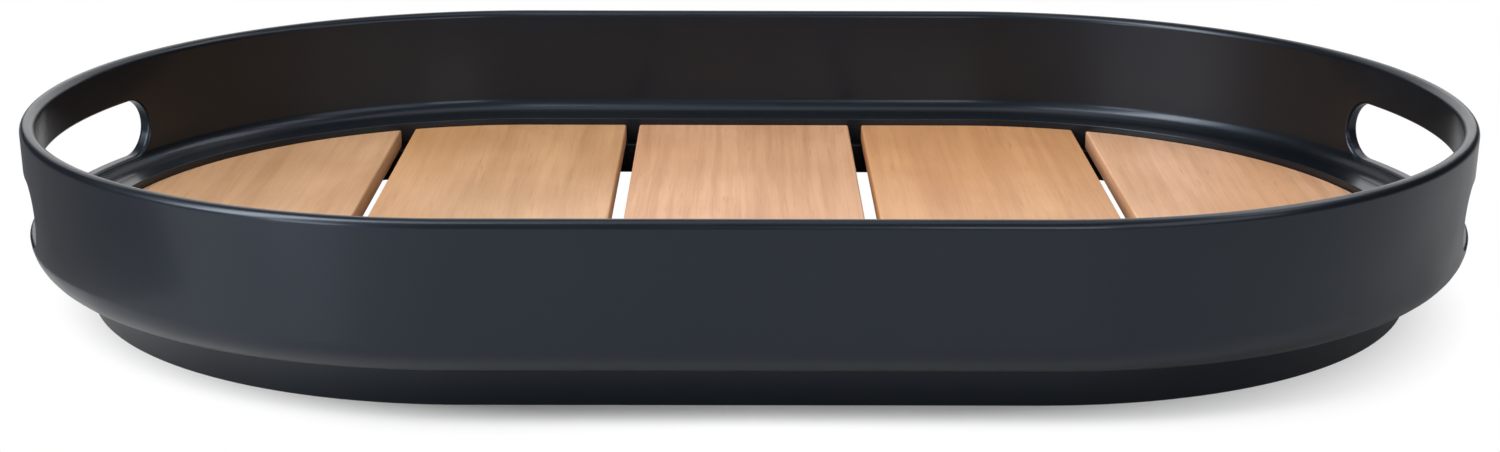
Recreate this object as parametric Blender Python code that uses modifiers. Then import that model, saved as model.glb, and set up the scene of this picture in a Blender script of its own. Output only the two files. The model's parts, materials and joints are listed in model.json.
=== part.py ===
"""Serving tray with a moulded body and a floor of five wooden slats.

The body is one ring: a foot that stands on the table, a ledge inside the foot that carries
the slats, a shoulder above them and a flared wall with a hand slot in each end. Lugs under
the ledge take screws that come up into the slats from below.

The origin is on the table under the middle of the tray. X runs along the tray, Y across it.
"""
import math

import bmesh
import bpy
from mathutils import Matrix, Vector

mm = 0.001

# Plan and overall height
tray_length = 500 * mm
tray_width = 325 * mm
tray_height = 63.4 * mm

# Wall and rim
wall_thickness = 5.3 * mm
wall_flare = 1.2 * mm
step_height = 14.2 * mm
step_round = 11.5 * mm
lip_round_share = 0.49

# Shoulder round the floor
shoulder_width = 13.9 * mm
shoulder_rise = 2.5 * mm
shoulder_fillet = 6 * mm
shoulder_round = 0.4 * mm

# Ledge and foot
seat_height = 11.4 * mm
seat_width = 3.5 * mm
seat_round = 0.5 * mm
pocket_wall = 4.8 * mm
foot_thickness = 5.3 * mm
foot_lean = 2 * mm
foot_round = 0.8 * mm
foot_fillet = 1 * mm

# Hand slots
handle_length = 144.4 * mm
grip_height = 16.2 * mm
sill_height = 4.3 * mm
handle_round = 1.5 * mm

# Slats
slat_width = 86 * mm
slat_gap = 5.4 * mm
slat_thickness = 7.4 * mm
slat_round = 0.8 * mm

# Lugs and screws
lug_thickness = 3 * mm
lug_width = 12 * mm
lug_drop = 0.2 * mm
screw_reach = 7 * mm
screw_inset = 15 * mm
end_screw_angle = math.radians(20)
slat_cover = 2.1 * mm
shank_diameter = 3 * mm
tip_length = 2 * mm
head_diameter = 6.5 * mm
head_height = 2.2 * mm
head_round = 0.8 * mm
recess_width = 0.9 * mm
recess_length = 3.6 * mm
recess_depth = 1.1 * mm

# Fits and cuts
fit_gap = 0.3 * mm
overrun = 3 * mm
weld_distance = 0.001 * mm

# Smoothness of the round stretches
half_turn_steps = 36
slot_end_steps = 5
slot_run_steps = 12
slot_round_steps = 3
slot_round_sweep = math.radians(75)
slot_mouth_share = 1.02
screw_sides = 12

# Heights and half widths that follow
arc_radius = tray_width / 2
straight_half = tray_length / 2 - arc_radius
slat_bottom = seat_height + fit_gap
slat_top = slat_bottom + slat_thickness
shoulder_height = slat_top + shoulder_rise
wall_base = arc_radius - wall_flare
pocket_radius = wall_base + wall_flare * (shoulder_height - step_height) / (tray_height - step_height)
pocket_radius -= wall_thickness + shoulder_width
seat_radius = pocket_radius - seat_width
foot_radius = seat_radius - foot_lean
floor_radius = pocket_radius - fit_gap
lug_bottom = seat_height - lug_drop - lug_thickness
head_top = lug_bottom - fit_gap
screw_ring = seat_radius - screw_reach
hole_radius = shank_diameter / 2 + fit_gap
hole_top = slat_top - slat_cover
screw_tip = hole_top - fit_gap

slat_names = ("end_slat_left", "slat_left", "middle_slat", "slat_right", "end_slat_right")


def clear_scene():
    for thing in list(bpy.data.objects):
        bpy.data.objects.remove(thing, do_unlink=True)


def new_collection(name):
    collection = bpy.data.collections.new(name)
    bpy.context.scene.collection.children.link(collection)
    return collection


def new_object(name, mesh, collection, place=(0, 0, 0), turn=0):
    thing = bpy.data.objects.new(name, mesh)
    thing.location = place
    thing.rotation_euler.z = turn
    collection.objects.link(thing)
    return thing


def hide_cutter(thing):
    thing.hide_render = True
    thing.display_type = "WIRE"


def new_material(name, colour, roughness, metallic):
    material = bpy.data.materials.new(name)
    material.use_nodes = True
    shader = material.node_tree.nodes["Principled BSDF"]
    shader.inputs["Base Color"].default_value = (*colour, 1)
    shader.inputs["Roughness"].default_value = roughness
    shader.inputs["Metallic"].default_value = metallic
    material.diffuse_color = (*colour, 1)
    return material


def plastic_material():
    return new_material("anthracite_plastic", (0.030, 0.034, 0.040), 0.45, 0)


def wood_material():
    return new_material("light_wood", (0.62, 0.40, 0.25), 0.55, 0)


def steel_material():
    return new_material("zinc_plated_steel", (0.55, 0.56, 0.58), 0.35, 1)


def finish_mesh(shape, name):
    """Weld a bmesh, face it outwards and hand it over as a smooth-shaded mesh."""
    bmesh.ops.remove_doubles(shape, verts=shape.verts, dist=weld_distance)
    bmesh.ops.recalc_face_normals(shape, faces=shape.faces)
    mesh = bpy.data.meshes.new(name)
    shape.to_mesh(mesh)
    shape.free()
    mesh.shade_smooth()
    mesh.set_sharp_from_angle(angle=math.radians(35))
    return mesh


def evaluated_mesh(thing, name):
    """The mesh that an object with its modifiers or curve settings shows, welded."""
    bpy.context.view_layer.update()
    evaluated = thing.evaluated_get(bpy.context.evaluated_depsgraph_get())
    shape = bmesh.new()
    mesh = bpy.data.meshes.new_from_object(evaluated)
    shape.from_mesh(mesh)
    bpy.data.meshes.remove(mesh)
    return finish_mesh(shape, name)


def add_boolean(thing, operation, operand):
    change = thing.modifiers.new(operation.lower(), "BOOLEAN")
    change.operation = operation
    change.solver = "EXACT"
    if isinstance(operand, bpy.types.Collection):
        change.operand_type = "COLLECTION"
        change.collection = operand
    else:
        change.object = operand


def wall_face(height):
    """Half width of the wall's outer face at a height above the step."""
    rise = (height - step_height) / (tray_height - step_height)
    return wall_base + wall_flare * rise


def rounded_outline(corners):
    """Points round a closed outline whose corners are (across, up, radius, steps)."""
    points = []
    for index, (across, up, radius, steps) in enumerate(corners):
        corner = Vector((across, up))
        if not steps:
            points.append(corner)
            continue
        to_last = (Vector(corners[index - 1][:2]) - corner).normalized()
        to_next = (Vector(corners[(index + 1) % len(corners)][:2]) - corner).normalized()
        half_angle = to_last.angle(to_next) / 2
        centre = corner + (to_last + to_next).normalized() * (radius / math.sin(half_angle))
        start = corner + to_last * (radius / math.tan(half_angle)) - centre
        sweep = math.pi - 2 * half_angle
        if to_last.cross(to_next) > 0:
            sweep = -sweep
        for step in range(steps + 1):
            points.append(centre + Matrix.Rotation(sweep * step / steps, 2) @ start)
    return points


def body_section():
    """Section through the front of the tray: distance from the centre line, and height."""
    lip_round = wall_thickness * lip_round_share
    rim_inside = arc_radius - wall_thickness
    wall_inside = wall_face(shoulder_height) - wall_thickness
    return rounded_outline((
        (foot_radius + foot_thickness, 0, foot_round, 2),
        (pocket_radius + pocket_wall, step_height, foot_fillet, 2),
        (wall_base, step_height, step_round, 8),
        (arc_radius, tray_height, lip_round, 5),
        (rim_inside, tray_height, lip_round, 5),
        (wall_inside, shoulder_height, shoulder_fillet, 5),
        (pocket_radius, shoulder_height, shoulder_round, 3),
        (pocket_radius, seat_height, 0, 0),
        (seat_radius, seat_height, seat_round, 1),
        (foot_radius, 0, foot_round, 2),
    ))


def only(kind, geometry):
    return [part for part in geometry if isinstance(part, kind)]


def body_mesh():
    """Sweep the section round two half circles joined by straight runs."""
    shape = bmesh.new()
    ring = [shape.verts.new((straight_half, -across, up)) for across, up in body_section()]
    section = [shape.edges.new((ring[index - 1], ring[index])) for index in range(len(ring))]
    for end in (1, -1):
        turned = bmesh.ops.spin(
            shape, geom=section + ring, cent=(end * straight_half, 0, 0), axis=(0, 0, 1),
            angle=math.pi, steps=half_turn_steps)
        section = only(bmesh.types.BMEdge, turned["geom_last"])
        run = bmesh.ops.extrude_edge_only(shape, edges=section)["geom"]
        ring = only(bmesh.types.BMVert, run)
        bmesh.ops.translate(shape, verts=ring, vec=(-2 * end * straight_half, 0, 0))
        moved = set(ring)
        section = [edge for edge in only(bmesh.types.BMEdge, run) if moved.issuperset(edge.verts)]
    return finish_mesh(shape, "tray_body")


def slot_chain(half_length, half_height):
    """Upper half of a slot outline with round ends, from its left tip to its right tip."""
    run = half_length - half_height
    quarter = [math.pi / 2 * step / slot_end_steps for step in range(slot_end_steps + 1)]
    left = [(-run - half_height * math.cos(angle), half_height * math.sin(angle)) for angle in quarter]
    top = [(run * (2 * step / slot_run_steps - 1), half_height) for step in range(1, slot_run_steps)]
    right = [(-along, up) for along, up in reversed(left)]
    return left + top + right


def slot_rings():
    """Depths across the wall, each with how far the slot's rounded edge has opened there."""
    face = wall_thickness / 2
    core = face - handle_round
    turns = [slot_round_sweep * step / slot_round_steps for step in range(slot_round_steps + 1)]
    reach = handle_round * slot_mouth_share / math.sin(slot_round_sweep)
    outward = [(core + reach * math.sin(turn), handle_round * (1 - math.cos(turn))) for turn in turns]
    outward.append((face + overrun, outward[-1][1]))
    inward = [(-depth, opening) for depth, opening in reversed(outward)]
    return inward + outward


def slot_mesh():
    """Cutter for a hand slot, bent round the end wall and opening out at both faces."""
    half_height = (tray_height - grip_height - shoulder_height - sill_height) / 2
    middle = shoulder_height + sill_height + half_height
    bend = wall_face(middle) - wall_thickness / 2
    shape = bmesh.new()

    def corner(along, up, depth):
        distance = wall_face(middle + up) - wall_thickness / 2 + depth
        angle = along / bend
        return shape.verts.new((distance * math.cos(angle), distance * math.sin(angle), middle + up))

    loops = []
    for depth, opening in slot_rings():
        chain = slot_chain(handle_length / 2 + opening, half_height + opening)
        upper = [corner(along, up, depth) for along, up in chain]
        lower = [corner(along, -up, depth) for along, up in chain[1:-1]]
        loops.append((upper, [upper[0], *lower, upper[-1]]))
    for (upper, lower), (next_upper, next_lower) in zip(loops, loops[1:]):
        for near, far in ((upper, next_upper), (lower, next_lower)):
            for index in range(len(near) - 1):
                shape.faces.new((near[index], near[index + 1], far[index + 1], far[index]))
    for upper, lower in (loops[0], loops[-1]):
        for index in range(len(upper) - 1):
            quad = (upper[index], upper[index + 1], lower[index + 1], lower[index])
            shape.faces.new(tuple(dict.fromkeys(quad)))
    return finish_mesh(shape, "hand_slot")


def plate_mesh(name, outline, thickness):
    """A flat outline given a thickness, standing on its own zero height."""
    curve = bpy.data.curves.new(name, "CURVE")
    curve.dimensions = "2D"
    curve.fill_mode = "BOTH"
    curve.extrude = thickness / 2
    spline = curve.splines.new("POLY")
    spline.points.add(len(outline) - 1)
    for point, (x, y) in zip(spline.points, outline):
        point.co = (x, y, 0, 1)
    spline.use_cyclic_u = True
    flat = new_object(name, curve, bpy.context.scene.collection)
    mesh = evaluated_mesh(flat, name)
    bpy.data.objects.remove(flat)
    bpy.data.curves.remove(curve)
    shape = bmesh.new()
    shape.from_mesh(mesh)
    bpy.data.meshes.remove(mesh)
    bmesh.ops.dissolve_limit(
        shape, angle_limit=math.radians(1), verts=shape.verts, edges=shape.edges)
    bmesh.ops.translate(shape, verts=shape.verts, vec=(0, 0, thickness / 2))
    return finish_mesh(shape, name)


def floor_edge(low, high):
    """Points along the floor's rear edge between two places on the tray's right half."""
    turns = [math.acos(min(max((place - straight_half) / floor_radius, 0), 1)) for place in (low, high)]
    points = []
    if low < straight_half:
        points.append((low, floor_radius))
    steps = math.ceil((turns[0] - turns[1]) / math.pi * half_turn_steps)
    for step in range(steps + 1):
        angle = turns[0] + (turns[1] - turns[0]) * step / max(steps, 1)
        place = straight_half + floor_radius * math.cos(angle)
        points.append((min(place, high), floor_radius * math.sin(angle)))
    return points


def slat_outline(low, high):
    """Outline of a slat on the tray's right half, or of the middle one, drawn from its middle."""
    middle = (low + high) / 2
    rear = [(x - middle, y) for x, y in floor_edge(low, high)]
    front = [(x, -y) for x, y in reversed(rear) if y > weld_distance]
    return rear + front


def slat_spans():
    """Name, side and near and far edges of each slat; side -1 mirrors it to the left."""
    pitch = slat_width + slat_gap
    middle_half = slat_width / 2
    second = middle_half + slat_gap
    third = second + pitch
    floor_end = straight_half + floor_radius
    spans = []
    for name, side, low, high in zip(
            slat_names, (-1, -1, 1, 1, 1), (third, second, -middle_half, second, third),
            (floor_end, second + slat_width, middle_half, second + slat_width, floor_end)):
        spans.append((name, side, low, high))
    return spans


def ring_place(distance):
    """Where a screw stands, X and Y, with the lug's outward direction, for a place along X."""
    beyond = distance - straight_half
    if beyond <= 0:
        return distance, screw_ring, math.pi / 2
    angle = math.acos(beyond / screw_ring)
    return distance, screw_ring * math.sin(angle), angle


def slat_screws(side, low, high):
    """Four screws under a slat: X, Y and direction of each lug."""
    corners = [ring_place(low + screw_inset)]
    if high < straight_half + screw_ring:
        corners.append(ring_place(high - screw_inset))
    else:
        tip = straight_half + screw_ring * math.cos(end_screw_angle)
        corners.append((tip, screw_ring * math.sin(end_screw_angle), end_screw_angle))
    places = []
    for x, y, angle in corners:
        for rear in (1, -1):
            direction = math.atan2(rear * math.sin(angle), side * math.cos(angle))
            places.append((side * x, rear * y, direction))
    return places


def lug_outline():
    """A tongue with a round inner end about the screw; its outer end runs into the foot."""
    half = lug_width / 2
    root = screw_reach + foot_thickness / 2
    turns = [math.pi * (0.5 + step / slot_end_steps) for step in range(slot_end_steps + 1)]
    tongue = [(half * math.cos(turn), half * math.sin(turn)) for turn in turns]
    return tongue + [(root, -half), (root, half)]


def hole_mesh():
    """Cutter for a screw's way through its lug and its blind hole in the slat."""
    shape = bmesh.new()
    length = hole_top - lug_bottom + overrun
    bmesh.ops.create_cone(
        shape, cap_ends=True, segments=screw_sides, radius1=hole_radius, radius2=hole_radius,
        depth=length, matrix=Matrix.Translation((0, 0, hole_top - length / 2)))
    return finish_mesh(shape, "screw_hole")


def recess_mesh():
    """Cutter for the cross recess in a screw head."""
    shape = bmesh.new()
    half = recess_width / 2
    arm = recess_length / 2
    quarter = [(arm, -half), (arm, half), (half, half)]
    outline = []
    for turn in range(4):
        outline += [Matrix.Rotation(turn * math.pi / 2, 2) @ Vector(point) for point in quarter]
    return plate_mesh("recess", outline, recess_depth + overrun)


def screw_profile():
    """Half section of a screw that stands head down, from its tip to the head's middle."""
    shank = shank_diameter / 2
    head = head_diameter / 2
    head_bottom = head_top - head_height
    return [
        (0, screw_tip),
        (shank, screw_tip - tip_length),
        (shank, head_top),
        (head, head_top),
        (head, head_bottom + head_round),
        (head - head_round, head_bottom),
        (0, head_bottom),
    ]


def screw_mesh(cutters):
    """Turn the screw's profile, then sink the cross recess into its head."""
    shape = bmesh.new()
    points = [shape.verts.new((x, 0, z)) for x, z in screw_profile()]
    for start, end in zip(points, points[1:]):
        shape.edges.new((start, end))
    profile = bpy.data.meshes.new("screw_profile")
    shape.to_mesh(profile)
    shape.free()
    turned = new_object("screw_pattern", profile, cutters)
    sweep = turned.modifiers.new("turn", "SCREW")
    sweep.steps = screw_sides
    sweep.render_steps = screw_sides
    sweep.use_merge_vertices = True
    sweep.merge_threshold = 0.01 * mm
    bottom = head_top - head_height
    recess = new_object("recess", recess_mesh(), cutters, (0, 0, bottom + recess_depth))
    recess.rotation_euler.x = math.pi
    add_boolean(turned, "DIFFERENCE", recess)
    mesh = evaluated_mesh(turned, "screw")
    bpy.data.objects.remove(turned)
    bpy.data.objects.remove(recess)
    return mesh


def make_slats(parts, holes, frame, wood):
    for name, side, low, high in slat_spans():
        outline = [(side * x, y) for x, y in slat_outline(low, high)]
        mesh = plate_mesh(name, outline, slat_thickness)
        slat = new_object(name, mesh, parts, (side * (low + high) / 2, 0, slat_bottom))
        edges = slat.modifiers.new("eased_edges", "BEVEL")
        edges.width = slat_round
        edges.segments = 2
        edges.limit_method = "ANGLE"
        edges.angle_limit = math.radians(35)
        add_boolean(slat, "DIFFERENCE", holes)
        mesh.materials.append(wood)
        slat.parent = frame


def make_screws(parts, lugs, holes, cutters, frame, steel):
    """Put a screw, its hole cutter and its lug at each place under each slat."""
    lug_shape = plate_mesh("lug", lug_outline(), lug_thickness)
    hole_shape = hole_mesh()
    screw_shape = screw_mesh(cutters)
    screw_shape.materials.append(steel)
    for slat_name, side, low, high in slat_spans():
        for number, (x, y, direction) in enumerate(slat_screws(side, low, high), 1):
            name = f"{slat_name}_screw_{number}"
            screw = new_object(name, screw_shape, parts, (x, y, 0), direction)
            screw.parent = frame
            hide_cutter(new_object(f"{name}_lug", lug_shape, lugs, (x, y, lug_bottom), direction))
            hide_cutter(new_object(f"{name}_hole", hole_shape, holes, (x, y, 0), direction))


def make_body(parts, lugs, holes, cutters, frame, plastic):
    body = new_object("tray_body", body_mesh(), parts)
    body.data.materials.append(plastic)
    body.parent = frame
    add_boolean(body, "UNION", lugs)
    add_boolean(body, "DIFFERENCE", holes)
    slot = slot_mesh()
    for name, side in (("right", 1), ("left", -1)):
        turn = 0 if side > 0 else math.pi
        cutter = new_object(f"hand_slot_{name}", slot, cutters, (side * straight_half, 0, 0), turn)
        hide_cutter(cutter)
        add_boolean(body, "DIFFERENCE", cutter)


def main():
    clear_scene()
    parts = new_collection("serving_tray")
    cutters = new_collection("cutters")
    lugs = new_collection("lugs")
    holes = new_collection("screw_holes")
    frame = new_object("tray_frame", None, parts)
    make_screws(parts, lugs, holes, cutters, frame, steel_material())
    make_body(parts, lugs, holes, cutters, frame, plastic_material())
    make_slats(parts, holes, frame, wood_material())


main()
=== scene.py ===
"""Looks of the serving tray: a satin anthracite moulding with a floor of light wooden slats.

Every piece is built here at the CAD's sizes, finer and with its finish, on a white table
under soft studio light. X runs along the tray, Y across it, and the table is at height zero.
"""
import json
import math

import bmesh
import bpy
from mathutils import Matrix, Vector

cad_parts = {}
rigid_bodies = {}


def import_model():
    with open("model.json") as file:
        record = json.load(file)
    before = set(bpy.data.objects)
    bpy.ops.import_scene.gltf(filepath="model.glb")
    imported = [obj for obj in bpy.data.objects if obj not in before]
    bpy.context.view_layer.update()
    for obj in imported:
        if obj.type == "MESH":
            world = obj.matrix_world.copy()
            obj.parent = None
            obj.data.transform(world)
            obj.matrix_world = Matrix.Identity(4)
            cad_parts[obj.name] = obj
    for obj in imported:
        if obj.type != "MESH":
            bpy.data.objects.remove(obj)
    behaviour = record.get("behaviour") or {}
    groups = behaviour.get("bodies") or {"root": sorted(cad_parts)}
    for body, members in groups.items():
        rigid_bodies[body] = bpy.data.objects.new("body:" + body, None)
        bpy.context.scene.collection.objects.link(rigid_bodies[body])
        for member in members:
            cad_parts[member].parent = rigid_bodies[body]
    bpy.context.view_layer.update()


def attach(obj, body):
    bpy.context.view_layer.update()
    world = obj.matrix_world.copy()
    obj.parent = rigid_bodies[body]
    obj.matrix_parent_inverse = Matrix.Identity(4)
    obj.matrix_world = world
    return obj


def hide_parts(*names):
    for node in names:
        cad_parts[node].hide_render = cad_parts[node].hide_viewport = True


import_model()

mm = 0.001

# Plan and height
tray_length = 500 * mm
tray_width = 325 * mm
tray_height = 63.4 * mm

# Section of the moulding
wall_thickness = 5.3 * mm
wall_flare = 1.2 * mm
step_height = 14.2 * mm
step_round = 11.5 * mm
lip_round_share = 0.49
shoulder_width = 13.9 * mm
shoulder_rise = 2.5 * mm
shoulder_fillet = 6 * mm
shoulder_round = 0.4 * mm
seat_height = 11.4 * mm
seat_width = 3.5 * mm
seat_round = 0.5 * mm
pocket_wall = 4.8 * mm
foot_thickness = 5.3 * mm
foot_lean = 2 * mm
foot_round = 0.8 * mm
foot_fillet = 1 * mm

# Hand slots
handle_length = 144.4 * mm
grip_height = 16.2 * mm
sill_height = 4.3 * mm
handle_round = 1.5 * mm
slot_round_sweep = math.radians(75)
slot_mouth_share = 1.02

# Slats; in the photograph their edges and the pocket lie a little left of the tray's middle
slat_width = 86 * mm
slat_gap = 5.4 * mm
slat_thickness = 7.4 * mm
slat_round = 0.8 * mm
slat_shift = 1.9 * mm
pocket_shift = 1.2 * mm

# Lugs and screws
lug_thickness = 3 * mm
lug_width = 12 * mm
lug_drop = 0.2 * mm
screw_reach = 7 * mm
screw_inset = 15 * mm
end_screw_angle = math.radians(20)
slat_cover = 2.1 * mm
shank_diameter = 3 * mm
tip_length = 2 * mm
head_diameter = 6.5 * mm
head_height = 2.2 * mm
head_round = 0.8 * mm
recess_width = 0.9 * mm
recess_length = 3.6 * mm
recess_depth = 1.1 * mm

# Fits and cuts
fit_gap = 0.3 * mm
overrun = 3 * mm
weld_distance = 0.001 * mm
axis_weld_distance = 0.01 * mm

# Smoothness of the round stretches
half_turn_steps = 96
straight_steps = 24
small_round_steps = 4
step_round_steps = 8
lip_round_steps = 10
shoulder_fillet_steps = 12
shoulder_round_steps = 6
slot_end_steps = 12
slot_run_steps = 40
slot_round_steps = 8
slat_round_steps = 4
lug_end_steps = 12
head_round_steps = 8
screw_sides = 40

# Angles between faces from which an edge is shaded sharp, is rounded, and is more than flat
sharp_angle = math.radians(38)
eased_angle = math.radians(35)
flat_angle = math.radians(0.5)

# Heights and half widths that follow
arc_radius = tray_width / 2
straight_half = tray_length / 2 - arc_radius
slat_bottom = seat_height + fit_gap
slat_top = slat_bottom + slat_thickness
shoulder_height = slat_top + shoulder_rise
wall_base = arc_radius - wall_flare
pocket_radius = wall_base + wall_flare * (shoulder_height - step_height) / (tray_height - step_height)
pocket_radius -= wall_thickness + shoulder_width
seat_radius = pocket_radius - seat_width
foot_radius = seat_radius - foot_lean
foot_edge = foot_radius + foot_thickness
floor_radius = pocket_radius - fit_gap
floor_end = straight_half + floor_radius
lug_bottom = seat_height - lug_drop - lug_thickness
head_top = lug_bottom - fit_gap
head_bottom = head_top - head_height
screw_ring = seat_radius - screw_reach
hole_radius = shank_diameter / 2 + fit_gap
hole_top = slat_top - slat_cover
screw_tip = hole_top - fit_gap

# Depth of the surface textures, and how far the wood's grain wanders across a slat
spark_depth = 0.02 * mm
turning_depth = 0.02 * mm
fibre_depth = 0.06 * mm
grain_wander = 12 * mm

white = (1, 1, 1, 1)

# Where most values of a noise lie, and the pointiness from which to which raised edges are marked: rubbed
# on the plastic, a painted highlight on the wood
noise_range = (0.3, 0.7)
raised_edge_from = 0.52
plastic_rubbed_to = 0.60
wood_highlight_edge_to = 0.58

# Satin plastic: tones, sheen and roughness, and how much a rubbed edge pales and smooths
plastic_dark = (0.0030, 0.0042, 0.0060, 1)
plastic_light = (0.0046, 0.0058, 0.0076, 1)
plastic_rubbed = (0.011, 0.013, 0.016, 1)
plastic_sheen = (0.60, 0.75, 1.0, 1)
plastic_roughness = (0.34, 0.40)
rubbed_paling = 0.35
rubbed_smoothing = 0.05

# Zinc plate: tones and roughness
zinc_dull = (0.52, 0.53, 0.56, 1)
zinc_bright = (0.64, 0.65, 0.66, 1)
zinc_roughness = (0.26, 0.42)

# Wood: shift of the figure for each place, stretch of lines and pores along the grain, casts of
# knots, of dark marks and of the painted edge highlight on the slat's tones, strengths, and roughness
figure_shift = (0.37, 1.31, 0.73)
line_stretch = 0.03
pore_stretch = 0.07
knot_cast = (1.02, 0.86, 0.62)
dark_cast = (0.74, 0.66, 0.60)
edge_highlight_cast = 1.25
palest_edge_highlight = 0.9
fibre_strength = 0.22
pore_strength = 0.42
edge_highlight_strength = 0.3
wood_roughness = (0.32, 0.46)

# Wood of each slat: place in the figure, light and deep tone, strength of streaks and of knots
# The end slats' tones are partly painted light: lightened, the right one most, for the dimmer light at the
# tray's ends.
slat_woods = {
    "end_slat_left": (1, (0.61, 0.365, 0.208), (0.46, 0.256, 0.130), 0.36, 0.6),
    "slat_left": (2, (0.63, 0.365, 0.190), (0.47, 0.255, 0.116), 0.40, 0.7),
    "middle_slat": (3, (0.73, 0.42, 0.245), (0.58, 0.31, 0.162), 0.68, 0.4),
    "slat_right": (4, (0.71, 0.385, 0.180), (0.56, 0.275, 0.120), 0.44, 0.6),
    "end_slat_right": (5, (0.85, 0.51, 0.32), (0.65, 0.36, 0.195), 0.46, 0.6),
}

# Camera, from the perspective of the tray's outlines
frame_width = 1500
sensor_width = 36
focal_pixels = 2408
camera_place = Vector((-3.84, -825.51, 250.52)) * mm
camera_pitch = 0.27683
camera_yaw = 0.0048
camera_roll = 0.00326
camera_nearest = 0.01
camera_farthest = 60

# Table: how pale it is to the camera and where the tray mirrors it, and its polish
table_size = 40
paleness_seen = 0.93
paleness_mirrored = 0.62
polish_share = 0.36
polish_roughness = 0.25
polish_ior = 1.5

# Shadow on the table for the camera. It fades to white between two distances from the foot.
# They are taken from a line along the middle that is shorter than the foot's straight run,
# so that the shadow is shorter at the ends. At the left, painted shadow darkens the table beside the foot.
shadow_start = 4 * mm
shadow_end = 60 * mm
shadow_half = 48 * mm
shadow_least_fade = 0.05
painted_shadow_depth = 0.4
painted_shadow_run = 110 * mm

# Grey card beside the left end, hidden from the camera
card_place = (-516 * mm, 70 * mm)
card_size = (492 * mm, 480 * mm)
card_colour = (0.13, 0.13, 0.14, 1)
card_roughness = 0.8

# Dim light from all round
surroundings = 0.02

# Lamps: name, azimuth and elevation in degrees, distance, width and height in metres, watts
lamp_distance = 1.1
overhead_distance = 1.6
backdrop_distance = 2.3
lamps = (
    ("window_left", 62, 39, lamp_distance, 0.52, 0.9, 9.0),
    ("window_core", 60, 37, lamp_distance, 0.28, 0.75, 4.8),
    ("high_left", 40, 62, lamp_distance, 0.45, 0.3, 1.7),
    ("overhead", 0, 90, overhead_distance, 1.0, 1.0, 3.8),
    ("key_low", 40, 10, lamp_distance, 0.28, 0.34, 2.3),
    ("front_right", -15, 20, lamp_distance, 0.3, 0.34, 1.6),
    ("fill_right", -45, 27, lamp_distance, 0.6, 0.6, 2.0),
    ("side_right", -80, 47, lamp_distance, 0.3, 0.34, 0.9),
    ("rear_right", -125, 50, lamp_distance, 0.5, 0.4, 1.9),
    ("backdrop", 180, 38, backdrop_distance, 4, 0.8, 11),
    ("backdrop_low", 180, 15, backdrop_distance, 3, 0.9, 12),
)

scene_collection = bpy.context.scene.collection


# Mesh helpers

def new_object(name, data, place=(0, 0, 0), turn=0):
    thing = bpy.data.objects.new(name, data)
    thing.location = place
    thing.rotation_euler.z = turn
    scene_collection.objects.link(thing)
    return thing


def finish_mesh(shape, name):
    """Weld a shape, turn its faces outward and shade it smooth between its sharp edges."""
    bmesh.ops.remove_doubles(shape, verts=shape.verts, dist=weld_distance)
    bmesh.ops.recalc_face_normals(shape, faces=shape.faces)
    mesh = bpy.data.meshes.new(name)
    shape.to_mesh(mesh)
    shape.free()
    mesh.shade_smooth()
    mesh.set_sharp_from_angle(angle=sharp_angle)
    return mesh


def evaluated_mesh(thing, name):
    """The mesh that an object with its modifiers or curve settings shows, welded."""
    bpy.context.view_layer.update()
    evaluated = thing.evaluated_get(bpy.context.evaluated_depsgraph_get())
    mesh = bpy.data.meshes.new_from_object(evaluated)
    shape = bmesh.new()
    shape.from_mesh(mesh)
    bpy.data.meshes.remove(mesh)
    return finish_mesh(shape, name)


def add_boolean(thing, operation, operand):
    """Join or cut with one object or with all the objects of a collection."""
    change = thing.modifiers.new(operation.lower(), "BOOLEAN")
    change.operation = operation
    change.solver = "EXACT"
    if isinstance(operand, bpy.types.Collection):
        change.operand_type = "COLLECTION"
        change.collection = operand
    else:
        change.object = operand


def weigh_normals(thing):
    """Let the large faces set the shading beside cut and rounded edges."""
    weigh = thing.modifiers.new("weighted_normals", "WEIGHTED_NORMAL")
    weigh.mode = "FACE_AREA_WITH_ANGLE"
    weigh.keep_sharp = True


def dress(thing, material, slot, *nodes):
    """Give a piece its material and let it stand for CAD nodes."""
    thing.data.materials.clear()
    thing.data.materials.append(material)
    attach(thing, "root")
    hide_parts(*nodes)


# Moulding

def wall_face(height):
    """Half width of the wall's outer face at a height above the step."""
    rise = (height - step_height) / (tray_height - step_height)
    return wall_base + wall_flare * rise


def rounded_outline(corners):
    """Points round a closed outline whose corners are (across, up, radius, steps)."""
    points = []
    for index, (across, up, radius, steps) in enumerate(corners):
        corner = Vector((across, up))
        if not steps:
            points.append(corner)
            continue
        to_last = (Vector(corners[index - 1][:2]) - corner).normalized()
        to_next = (Vector(corners[(index + 1) % len(corners)][:2]) - corner).normalized()
        half_angle = to_last.angle(to_next) / 2
        centre = corner + (to_last + to_next).normalized() * (radius / math.sin(half_angle))
        start = corner + to_last * (radius / math.tan(half_angle)) - centre
        sweep = math.pi - 2 * half_angle
        if to_last.cross(to_next) > 0:
            sweep = -sweep
        for step in range(steps + 1):
            points.append(centre + Matrix.Rotation(sweep * step / steps, 2) @ start)
    return points


def body_section():
    """Section through the front of the tray: distance from the centre line, and height."""
    lip_round = wall_thickness * lip_round_share
    rim_inside = arc_radius - wall_thickness
    wall_inside = wall_face(shoulder_height) - wall_thickness
    return rounded_outline((
        (foot_edge, 0, foot_round, small_round_steps),
        (pocket_radius + pocket_wall, step_height, foot_fillet, small_round_steps),
        (wall_base, step_height, step_round, step_round_steps),
        (arc_radius, tray_height, lip_round, lip_round_steps),
        (rim_inside, tray_height, lip_round, lip_round_steps),
        (wall_inside, shoulder_height, shoulder_fillet, shoulder_fillet_steps),
        (pocket_radius, shoulder_height, shoulder_round, shoulder_round_steps),
        (pocket_radius, seat_height, 0, 0),
        (seat_radius, seat_height, seat_round, small_round_steps),
        (foot_radius, 0, foot_round, small_round_steps),
    ))


def only(kind, geometry):
    """The parts of one kind among mixed geometry."""
    return [part for part in geometry if isinstance(part, kind)]


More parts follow.
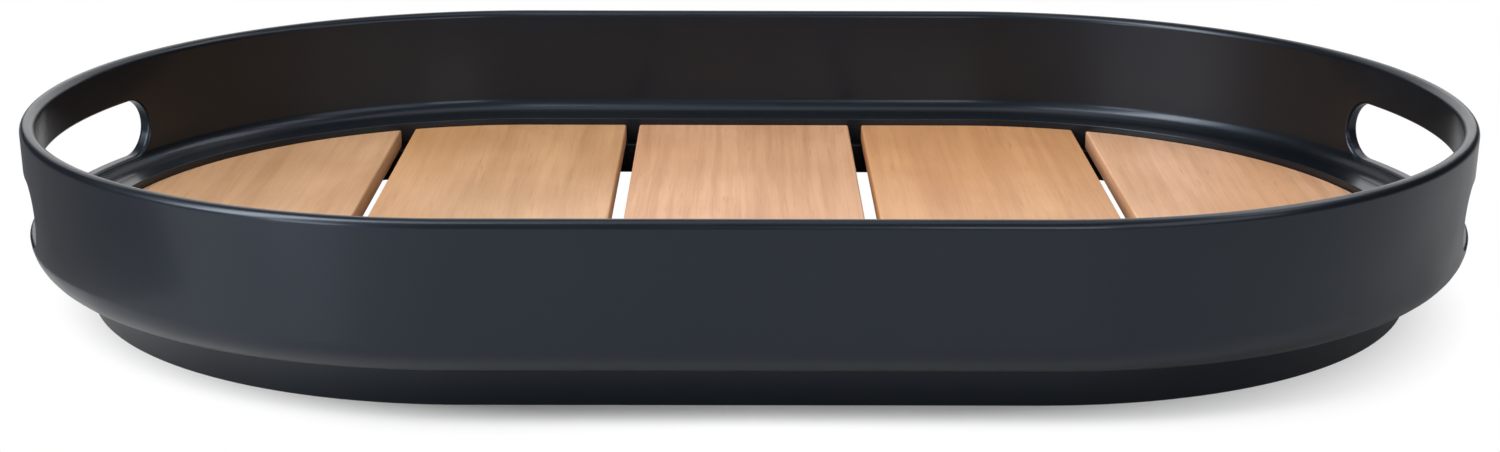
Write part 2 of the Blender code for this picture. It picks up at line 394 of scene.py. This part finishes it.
def in_pocket(point):
    """Whether a point of the moulding belongs to the pocket's wall, its edge or the seat."""
    beyond = max(abs(point.x) - straight_half, 0)
    across = math.hypot(beyond, point.y)
    return point.z > seat_height - fit_gap and across < pocket_radius + shoulder_round + weld_distance


def ring_mesh():
    """Sweep the section round two half circles joined by straight runs."""
    shape = bmesh.new()
    ring = [shape.verts.new((straight_half, -across, up)) for across, up in body_section()]
    section = [shape.edges.new((ring[index - 1], ring[index])) for index in range(len(ring))]
    for end in (1, -1):
        turned = bmesh.ops.spin(
            shape, geom=section + ring, cent=(end * straight_half, 0, 0), axis=(0, 0, 1),
            angle=math.pi, steps=half_turn_steps)
        section = only(bmesh.types.BMEdge, turned["geom_last"])
        for _ in range(straight_steps):
            run = bmesh.ops.extrude_edge_only(shape, edges=section)["geom"]
            ring = only(bmesh.types.BMVert, run)
            step = -2 * end * straight_half / straight_steps
            bmesh.ops.translate(shape, verts=ring, vec=(step, 0, 0))
            moved = set(ring)
            section = [edge for edge in only(bmesh.types.BMEdge, run) if moved.issuperset(edge.verts)]
    pocket = [corner for corner in shape.verts if in_pocket(corner.co)]
    bmesh.ops.translate(shape, verts=pocket, vec=(-pocket_shift, 0, 0))
    return finish_mesh(shape, "tray_moulding")


def slot_chain(half_length, half_height):
    """Upper half of a slot outline with round ends, from its left tip to its right tip."""
    run = half_length - half_height
    quarter = [math.pi / 2 * step / slot_end_steps for step in range(slot_end_steps + 1)]
    left = [(-run - half_height * math.cos(angle), half_height * math.sin(angle)) for angle in quarter]
    top = [(run * (2 * step / slot_run_steps - 1), half_height) for step in range(1, slot_run_steps)]
    right = [(-along, up) for along, up in reversed(left)]
    return left + top + right


def slot_rings():
    """Depths across the wall, each with how far the slot's rounded edge has opened there."""
    face = wall_thickness / 2
    core = face - handle_round
    turns = [slot_round_sweep * step / slot_round_steps for step in range(slot_round_steps + 1)]
    reach = handle_round * slot_mouth_share / math.sin(slot_round_sweep)
    outward = [(core + reach * math.sin(turn), handle_round * (1 - math.cos(turn))) for turn in turns]
    outward.append((face + overrun, outward[-1][1]))
    inward = [(-depth, opening) for depth, opening in reversed(outward)]
    return inward + outward


def slot_mesh():
    """Cutter for a hand slot, bent round the end wall and opening out at both faces."""
    half_height = (tray_height - grip_height - shoulder_height - sill_height) / 2
    middle = shoulder_height + sill_height + half_height
    bend = wall_face(middle) - wall_thickness / 2
    shape = bmesh.new()

    def corner(along, up, depth):
        distance = wall_face(middle + up) - wall_thickness / 2 + depth
        angle = along / bend
        return shape.verts.new((distance * math.cos(angle), distance * math.sin(angle), middle + up))

    loops = []
    for depth, opening in slot_rings():
        chain = slot_chain(handle_length / 2 + opening, half_height + opening)
        upper = [corner(along, up, depth) for along, up in chain]
        lower = [corner(along, -up, depth) for along, up in chain[1:-1]]
        loops.append((upper, [upper[0], *lower, upper[-1]]))
    for (upper, lower), (next_upper, next_lower) in zip(loops, loops[1:]):
        for near, far in ((upper, next_upper), (lower, next_lower)):
            for index in range(len(near) - 1):
                shape.faces.new((near[index], near[index + 1], far[index + 1], far[index]))
    for upper, lower in (loops[0], loops[-1]):
        for index in range(len(upper) - 1):
            quad = (upper[index], upper[index + 1], lower[index + 1], lower[index])
            shape.faces.new(tuple(dict.fromkeys(quad)))
    return finish_mesh(shape, "hand_slot")


# Flat pieces and turned pieces

def plate_mesh(name, outline, thickness):
    """A flat outline given a thickness, standing on its own zero height."""
    curve = bpy.data.curves.new(name, "CURVE")
    curve.dimensions = "2D"
    curve.fill_mode = "BOTH"
    curve.extrude = thickness / 2
    spline = curve.splines.new("POLY")
    spline.points.add(len(outline) - 1)
    for point, (x, y) in zip(spline.points, outline):
        point.co = (x, y, 0, 1)
    spline.use_cyclic_u = True
    flat = new_object(name, curve)
    mesh = evaluated_mesh(flat, name)
    bpy.data.objects.remove(flat)
    bpy.data.curves.remove(curve)
    shape = bmesh.new()
    shape.from_mesh(mesh)
    bpy.data.meshes.remove(mesh)
    bmesh.ops.dissolve_limit(shape, angle_limit=flat_angle, verts=shape.verts, edges=shape.edges)
    bmesh.ops.translate(shape, verts=shape.verts, vec=(0, 0, thickness / 2))
    return finish_mesh(shape, name)


def lug_outline():
    """A tongue with a round inner end about the screw; its outer end runs into the foot."""
    half = lug_width / 2
    root = screw_reach + foot_thickness / 2
    turns = [math.pi * (0.5 + step / lug_end_steps) for step in range(lug_end_steps + 1)]
    tongue = [(half * math.cos(turn), half * math.sin(turn)) for turn in turns]
    return tongue + [(root, -half), (root, half)]


def hole_mesh():
    """Cutter for a screw's way through its lug and its blind hole in the slat."""
    shape = bmesh.new()
    length = hole_top - lug_bottom + overrun
    bmesh.ops.create_cone(
        shape, cap_ends=True, segments=screw_sides, radius1=hole_radius, radius2=hole_radius,
        depth=length, matrix=Matrix.Translation((0, 0, hole_top - length / 2)))
    return finish_mesh(shape, "screw_hole")


def recess_mesh():
    """Cutter for the cross recess in a screw head."""
    half = recess_width / 2
    arm = recess_length / 2
    quarter = [(arm, -half), (arm, half), (half, half)]
    outline = []
    for turn in range(4):
        outline += [Matrix.Rotation(turn * math.pi / 2, 2) @ Vector(point) for point in quarter]
    return plate_mesh("recess", outline, recess_depth + overrun)


def screw_profile():
    """Half section of a screw that stands head down, from its tip to the head's middle."""
    shank = shank_diameter / 2
    head = head_diameter / 2
    rim = [(head, head_top)]
    for step in range(head_round_steps + 1):
        angle = math.pi / 2 * step / head_round_steps
        rim.append((
            head - head_round + head_round * math.cos(angle),
            head_bottom + head_round - head_round * math.sin(angle)))
    return [(0, screw_tip), (shank, screw_tip - tip_length), (shank, head_top), *rim, (0, head_bottom)]


def screw_mesh():
    """Turn the screw's profile, then sink the cross recess into its head."""
    shape = bmesh.new()
    points = [shape.verts.new((x, 0, z)) for x, z in screw_profile()]
    for start, end in zip(points, points[1:]):
        shape.edges.new((start, end))
    profile = bpy.data.meshes.new("screw_profile")
    shape.to_mesh(profile)
    shape.free()
    turned = new_object("screw_pattern", profile)
    sweep = turned.modifiers.new("turn", "SCREW")
    sweep.steps = screw_sides
    sweep.render_steps = screw_sides
    sweep.use_merge_vertices = True
    sweep.merge_threshold = axis_weld_distance
    recess = new_object("recess", recess_mesh(), (0, 0, head_bottom + recess_depth))
    recess.rotation_euler.x = math.pi
    add_boolean(turned, "DIFFERENCE", recess)
    mesh = evaluated_mesh(turned, "screw")
    bpy.data.objects.remove(turned)
    bpy.data.objects.remove(recess)
    return mesh


# Floor plan

def floor_edge(low, high):
    """Points along the floor's rear edge between two places on the tray's right half."""
    turns = [math.acos(min(max((place - straight_half) / floor_radius, 0), 1)) for place in (low, high)]
    points = []
    if low < straight_half:
        points.append((low, floor_radius))
    steps = math.ceil((turns[0] - turns[1]) / math.pi * half_turn_steps)
    for step in range(steps + 1):
        angle = turns[0] + (turns[1] - turns[0]) * step / max(steps, 1)
        place = straight_half + floor_radius * math.cos(angle)
        points.append((min(place, high), floor_radius * math.sin(angle)))
    return points


def slat_outline(low, high):
    """Outline of a slat between two places on the tray's right half, or across its middle."""
    if low < 0:
        return [
            (low, -floor_radius), (high, -floor_radius), (high, floor_radius), (low, floor_radius)]
    rear = floor_edge(low, high)
    front = [(x, -y) for x, y in reversed(rear) if y > weld_distance]
    return rear + front


def slat_spans():
    """Name, side and near and far edges of each slat; side -1 mirrors it to the left."""
    pitch = slat_width + slat_gap
    middle_half = slat_width / 2
    second = middle_half + slat_gap
    third = second + pitch
    return list(zip(
        slat_woods, (-1, -1, 1, 1, 1), (third, second, -middle_half, second, third),
        (floor_end, second + slat_width, middle_half, second + slat_width, floor_end)))


def ring_place(distance):
    """Where a screw stands, X and Y, with the lug's outward direction, for a place along X."""
    beyond = distance - straight_half
    if beyond <= 0:
        return distance, screw_ring, math.pi / 2
    angle = math.acos(beyond / screw_ring)
    return distance, screw_ring * math.sin(angle), angle


def slat_screws(side, low, high):
    """Four screws under a slat: X, Y and direction of each lug."""
    corners = [ring_place(low + screw_inset)]
    if high < straight_half + screw_ring:
        corners.append(ring_place(high - screw_inset))
    else:
        tip = straight_half + screw_ring * math.cos(end_screw_angle)
        corners.append((tip, screw_ring * math.sin(end_screw_angle), end_screw_angle))
    places = []
    for x, y, angle in corners:
        for rear in (1, -1):
            direction = math.atan2(rear * math.sin(angle), side * math.cos(angle))
            places.append((side * x, rear * y, direction))
    return places


# Materials

class Nodes:
    """Adds nodes to a material and links them by their sockets' names."""

    def __init__(self, name):
        self.material = bpy.data.materials.new(name)
        self.material.use_nodes = True
        self.tree = self.material.node_tree
        self.shader = self.tree.nodes["Principled BSDF"]

    def feed(self, node, values):
        for socket, value in values.items():
            if isinstance(value, bpy.types.NodeSocket):
                self.tree.links.new(value, node.inputs[socket])
            else:
                node.inputs[socket].default_value = value

    def add(self, kind, values=None, **settings):
        node = self.tree.nodes.new(kind)
        for setting, value in settings.items():
            setattr(node, setting, value)
        self.feed(node, values or {})
        return node

    def place(self, scale=(1, 1, 1), offset=(0, 0, 0)):
        """Coordinates in metres on the piece, stretched and moved."""
        where = self.add("ShaderNodeTexCoord").outputs["Object"]
        return self.add(
            "ShaderNodeMapping", {"Vector": where, "Scale": scale, "Location": offset}).outputs["Vector"]

    def parts(self, where):
        """The three coordinates one by one."""
        return self.add("ShaderNodeSeparateXYZ", {"Vector": where}).outputs

    def join(self, x=0, y=0, z=0):
        """A place from its three coordinates."""
        return self.add("ShaderNodeCombineXYZ", {"X": x, "Y": y, "Z": z}).outputs["Vector"]

    def noise(self, where, scale, detail=3, roughness=0.5, distortion=0):
        """Noise with this many features to the metre, between 0 and 1."""
        return self.add("ShaderNodeTexNoise", {
            "Vector": where, "Scale": scale, "Detail": detail, "Roughness": roughness,
            "Distortion": distortion}).outputs["Fac"]

    def span(self, value, low, high, to_low=0, to_high=1):
        """Map a value's range low to high onto another range, clamped."""
        return self.add("ShaderNodeMapRange", {
            "Value": value, "From Min": low, "From Max": high, "To Min": to_low,
            "To Max": to_high}).outputs["Result"]

    def math(self, operation, first, second=0.0, third=0.0):
        return self.add("ShaderNodeMath", {0: first, 1: second, 2: third}, operation=operation).outputs[0]

    def blend(self, share, first, second):
        """Mix two colours; the numbers are the sockets of the node's form for colours."""
        return self.add("ShaderNodeMix", {0: share, 6: first, 7: second}, data_type="RGBA").outputs[2]

    def weighted(self, first, first_weight, second, second_weight):
        """Sum of two values by their weights."""
        return self.math(
            "ADD", self.math("MULTIPLY", first, first_weight), self.math("MULTIPLY", second, second_weight))

    def bump(self, height, strength, distance):
        values = {"Height": height, "Strength": strength, "Distance": distance}
        return self.add("ShaderNodeBump", values).outputs["Normal"]

    def edge_wear_and_highlight(self, rubbed_to, strength=1):
        """Mask of raised edges, up to a strength at this pointiness: rubbing on the plastic, and a painted
        highlight on the wood.
        """
        edge = self.add("ShaderNodeNewGeometry").outputs["Pointiness"]
        return self.span(edge, raised_edge_from, rubbed_to, to_high=strength)


def plastic_material():
    """Satin moulded plastic: fine spark texture, faint flow marks, edges rubbed a little smoother."""
    nodes = Nodes("satin_anthracite")
    where = nodes.place()
    flow = nodes.noise(where, scale=9, detail=4, roughness=0.6)
    cloud = nodes.noise(where, scale=42)
    speck = nodes.noise(where, scale=1400, detail=2)
    worn = nodes.edge_wear_and_highlight(plastic_rubbed_to)
    shade = nodes.blend(nodes.span(flow, *noise_range), plastic_dark, plastic_light)
    colour = nodes.blend(nodes.math("MULTIPLY", worn, rubbed_paling), shade, plastic_rubbed)
    matt = nodes.span(cloud, *noise_range, *plastic_roughness)
    rough = nodes.math("SUBTRACT", matt, nodes.math("MULTIPLY", worn, rubbed_smoothing))
    grain = nodes.bump(speck, strength=0.12, distance=spark_depth)
    nodes.feed(nodes.shader, {
        "Base Color": colour, "Roughness": rough, "Normal": grain, "Specular IOR Level": 0.38,
        "Specular Tint": plastic_sheen, "Coat Weight": 0.24, "Coat Roughness": 0.14,
        "Coat Normal": grain})
    return nodes.material


def wood_material(name, seed, light, deep, streaks, knots):
    """Light fine-grained wood: soft figure, straight growth streaks along Y and short pores."""
    nodes = Nodes(name)
    offset = tuple(seed * part for part in figure_shift)

    def along_grain(stretch):
        """Coordinates for marks drawn out along Y, which wander a little across it."""
        return nodes.join(across, nodes.math("MULTIPLY", y, stretch), z)

    def tinted(cast):
        """The deep tone with a cast of colour."""
        return (*(part * share for part, share in zip(deep, cast)), 1)

    x, y, z = nodes.parts(nodes.place(offset=offset))
    wander = nodes.noise(nodes.place((1, 0.35, 1), offset), scale=7, detail=2)
    across = nodes.math("ADD", x, nodes.math("MULTIPLY", wander, grain_wander))
    lined = along_grain(line_stretch)
    dashed = along_grain(pore_stretch)
    figure = nodes.noise(
        nodes.place((1, 0.6, 1), offset), scale=26, detail=4, roughness=0.55, distortion=0.4)
    blotch = nodes.noise(nodes.place((1, 0.55, 1), offset), scale=13, detail=2)
    bands = nodes.noise(lined, scale=55, roughness=0.55)
    fine_bands = nodes.noise(lined, scale=300, roughness=0.6)
    fibres = nodes.noise(lined, scale=1300, roughness=0.6)
    dashes = nodes.noise(dashed, scale=800, detail=1)

    dark = tinted(dark_cast)
    # Paler tone of the painted highlight along the slats' raised edges
    edge_highlight = (*(min(part * edge_highlight_cast, palest_edge_highlight) for part in light), 1)
    shade = nodes.weighted(figure, 0.5, bands, 0.5)
    pores = nodes.span(dashes, 0.66, 0.76, to_high=pore_strength)
    colour = nodes.blend(nodes.span(shade, 0.36, 0.64), (*light, 1), (*deep, 1))
    layers = (
        (nodes.span(blotch, 0.52, 0.74, to_high=knots), tinted(knot_cast)),
        (nodes.span(fine_bands, 0.42, 0.72, to_high=streaks), dark),
        (nodes.span(fibres, 0.45, 0.75, to_high=fibre_strength), dark),
        (pores, dark),
        # Painted highlight: raised edges lighten by pointiness
        (nodes.edge_wear_and_highlight(wood_highlight_edge_to, edge_highlight_strength), edge_highlight),
    )
    for share, tone in layers:
        colour = nodes.blend(share, colour, tone)

    rough = nodes.span(fibres, 0.3, 0.8, *wood_roughness)
    relief = nodes.weighted(fibres, -0.7, pores, -0.8)
    grain = nodes.bump(relief, strength=0.2, distance=fibre_depth)
    nodes.feed(nodes.shader, {"Base Color": colour, "Roughness": rough, "Normal": grain})
    return nodes.material


def steel_material():
    """Bright zinc plate with fine turning marks round each screw's axis."""
    nodes = Nodes("zinc_plate")
    where = nodes.place()
    x, y, z = nodes.parts(where)
    radius = nodes.math(
        "SQRT", nodes.math("ADD", nodes.math("POWER", x, 2.0), nodes.math("POWER", y, 2.0)))
    marks = nodes.noise(nodes.join(radius, 0, z), scale=9000, detail=2)
    cloud = nodes.noise(where, scale=600)
    nodes.feed(nodes.shader, {
        "Base Color": nodes.blend(nodes.span(cloud, *noise_range), zinc_dull, zinc_bright),
        "Roughness": nodes.span(marks, *noise_range, *zinc_roughness), "Metallic": 1.0,
        "Normal": nodes.bump(marks, strength=0.15, distance=turning_depth)})
    return nodes.material


# Pieces

def make_moulding(lugs, holes, plastic):
    """Join the lugs to the swept ring, then cut the screw holes and the two hand slots."""
    blank = new_object("moulding_blank", ring_mesh())
    add_boolean(blank, "UNION", lugs)
    add_boolean(blank, "DIFFERENCE", holes)
    slot = slot_mesh()
    cutters = []
    for side, turn in ((1, 0), (-1, math.pi)):
        cutter = new_object("hand_slot", slot, (side * straight_half, 0, 0), turn)
        add_boolean(blank, "DIFFERENCE", cutter)
        cutters.append(cutter)
    moulding = new_object("tray_moulding", evaluated_mesh(blank, "tray_moulding"))
    for thing in (blank, *cutters):
        bpy.data.objects.remove(thing)
    weigh_normals(moulding)
    dress(moulding, plastic, "body", "tray_body")


def make_slats(holes):
    """Cut each slat to its outline, ease its edges and sink its screw holes."""
    for name, side, low, high in slat_spans():
        drift = side * (slat_shift - pocket_shift)
        near = low - drift
        far = high if high == floor_end else high - drift
        outline = [(side * x, y) for x, y in slat_outline(near, far)]
        plate = plate_mesh(name, outline, slat_thickness)
        blank = new_object(name + "_blank", plate, (-pocket_shift, 0, slat_bottom))
        edges = blank.modifiers.new("eased_edges", "BEVEL")
        edges.width = slat_round
        edges.segments = slat_round_steps
        edges.limit_method = "ANGLE"
        edges.angle_limit = eased_angle
        add_boolean(blank, "DIFFERENCE", holes)
        mesh = evaluated_mesh(blank, name)
        mesh.transform(Matrix.Translation(blank.location))
        bpy.data.objects.remove(blank)
        slat = new_object(name + "_board", mesh)
        weigh_normals(slat)
        dress(slat, wood_material(name + "_wood", *slat_woods[name]), "slats", name)


def make_screws(lugs, holes, steel):
    """Place the screws, and at each of them the shapes of its lug and its hole."""
    lug_shape = plate_mesh("lug", lug_outline(), lug_thickness)
    hole_shape = hole_mesh()
    screw_shape = screw_mesh()
    for slat_name, side, low, high in slat_spans():
        for number, (x, y, direction) in enumerate(slat_screws(side, low, high), 1):
            name = f"{slat_name}_screw_{number}"
            screw = new_object(name + "_turned", screw_shape, (x, y, 0), direction)
            dress(screw, steel, "screws", name)
            for collection, shape, height in ((lugs, lug_shape, lug_bottom), (holes, hole_shape, 0)):
                cutter = new_object(name + "_cutter", shape, (x, y, height), direction)
                scene_collection.objects.unlink(cutter)
                collection.objects.link(cutter)


# Camera, table and light

def make_camera():
    """Camera at the photograph's place and with its field of view."""
    camera = bpy.data.objects.new("camera", bpy.data.cameras.new("camera"))
    camera.data.sensor_width = sensor_width
    camera.data.lens = focal_pixels * sensor_width / frame_width
    turn = Matrix.Rotation(-camera_yaw, 4, "Z") @ Matrix.Rotation(math.pi / 2 - camera_pitch, 4, "X")
    camera.matrix_world = Matrix.Translation(camera_place) @ turn @ Matrix.Rotation(camera_roll, 4, "Z")
    camera.data.clip_start = camera_nearest
    camera.data.clip_end = camera_farthest
    scene_collection.objects.link(camera)
    bpy.context.scene.camera = camera


def make_plane(name, size=1):
    """A flat sheet about the middle of the tray, at the height of the table."""
    bpy.ops.mesh.primitive_plane_add(size=size)
    plane = bpy.context.object
    plane.name = name
    return plane


def make_table():
    """White polished table; to the camera it is matt, its shadow fades to pure white, and at the left
    painted shadow darkens it beside the foot.
    """
    table = make_plane("table", table_size)
    nodes = Nodes("white_table")
    x, y, _ = nodes.parts(nodes.place())

    def reach(half):
        """Distance from a line of this half length along the tray's middle."""
        beyond = nodes.math("SUBTRACT", nodes.math("ABSOLUTE", x), half)
        across = nodes.join(nodes.math("MAXIMUM", beyond, 0.0), y)
        return nodes.add("ShaderNodeVectorMath", {0: across}, operation="LENGTH").outputs["Value"]

    def falling(share, most):
        """A value that falls from its most to nothing as a share grows from none to all."""
        return nodes.math("MULTIPLY_ADD", share, -most, most)

    seen = nodes.add("ShaderNodeLightPath").outputs["Is Camera Ray"]
    inside = nodes.math("LESS_THAN", reach(straight_half), foot_radius + foot_thickness / 2)
    fade = nodes.span(
        reach(shadow_half), foot_edge + shadow_start, foot_edge + shadow_end, shadow_least_fade, 1)
    whitened = nodes.math("MULTIPLY", seen, nodes.math("MAXIMUM", inside, fade))
    fresnel = nodes.add("ShaderNodeFresnel", {"IOR": polish_ior}).outputs["Fac"]
    polish = nodes.math("MULTIPLY", fresnel, falling(seen, polish_share))
    # Painted shadow: the table's colour darkens beside the foot at the left
    leftward = nodes.span(x, -painted_shadow_run, 0, 1, 0)
    painted_shadow = nodes.math("MULTIPLY", leftward, falling(fade, painted_shadow_depth))
    brighter = nodes.math("SUBTRACT", paleness_seen - paleness_mirrored, painted_shadow)
    paleness = nodes.math("MULTIPLY_ADD", seen, brighter, paleness_mirrored)
    matte = nodes.add("ShaderNodeBsdfDiffuse", {"Color": paleness})
    shine = nodes.add("ShaderNodeBsdfAnisotropic", {"Roughness": polish_roughness})
    glow = nodes.add("ShaderNodeEmission", {"Color": white, "Strength": 1.0})
    surface = nodes.add("ShaderNodeMixShader", {0: polish, 1: matte.outputs[0], 2: shine.outputs[0]})
    mixed = nodes.add("ShaderNodeMixShader", {0: whitened, 1: surface.outputs[0], 2: glow.outputs[0]})
    nodes.feed(nodes.tree.nodes["Material Output"], {"Surface": mixed.outputs[0]})
    table.data.materials.append(nodes.material)


def make_card():
    """Grey card on the table at the left, which the camera doesn't see; the left end mirrors it."""
    card = make_plane("grey_card")
    card.scale = (*card_size, 1)
    card.location = (*card_place, weld_distance)
    card.visible_camera = False
    nodes = Nodes("grey_card")
    nodes.feed(nodes.shader, {"Base Color": card_colour, "Roughness": card_roughness})
    card.data.materials.append(nodes.material)


def make_world():
    """Dim even surroundings; the lamps give nearly all the light."""
    world = bpy.data.worlds.new("studio")
    world.use_nodes = True
    bpy.context.scene.world = world
    background = world.node_tree.nodes["Background"]
    background.inputs["Color"].default_value = white
    background.inputs["Strength"].default_value = surroundings


def make_lamp(name, azimuth, elevation, distance, width, height, watts):
    """Soft lamp aimed at the tray. Azimuth zero is the camera's side and grows to the left."""
    turn, rise = math.radians(azimuth), math.radians(elevation)
    aim = Vector((0, 0, tray_height / 2))
    away = Vector((-math.cos(rise) * math.sin(turn), -math.cos(rise) * math.cos(turn), math.sin(rise)))
    lamp = bpy.data.lights.new(name, "AREA")
    lamp.shape = "RECTANGLE"
    lamp.size = width
    lamp.size_y = height
    lamp.energy = watts
    thing = new_object(name, lamp, aim + away * distance)
    thing.rotation_euler = (-away).to_track_quat("-Z", "Y").to_euler()


def main():
    """Build the pieces, then the camera's view, the table and the light round them."""
    lugs = bpy.data.collections.new("lugs")
    holes = bpy.data.collections.new("screw_holes")
    for collection in (lugs, holes):
        scene_collection.children.link(collection)
    make_camera()
    make_screws(lugs, holes, steel_material())
    make_moulding(lugs, holes, plastic_material())
    make_slats(holes)
    for collection in (lugs, holes):
        for cutter in list(collection.objects):
            bpy.data.objects.remove(cutter)
        bpy.data.collections.remove(collection)
    make_table()
    make_card()
    make_world()
    for lamp in lamps:
        make_lamp(*lamp)
    bpy.context.scene.view_settings.view_transform = "Standard"


main()
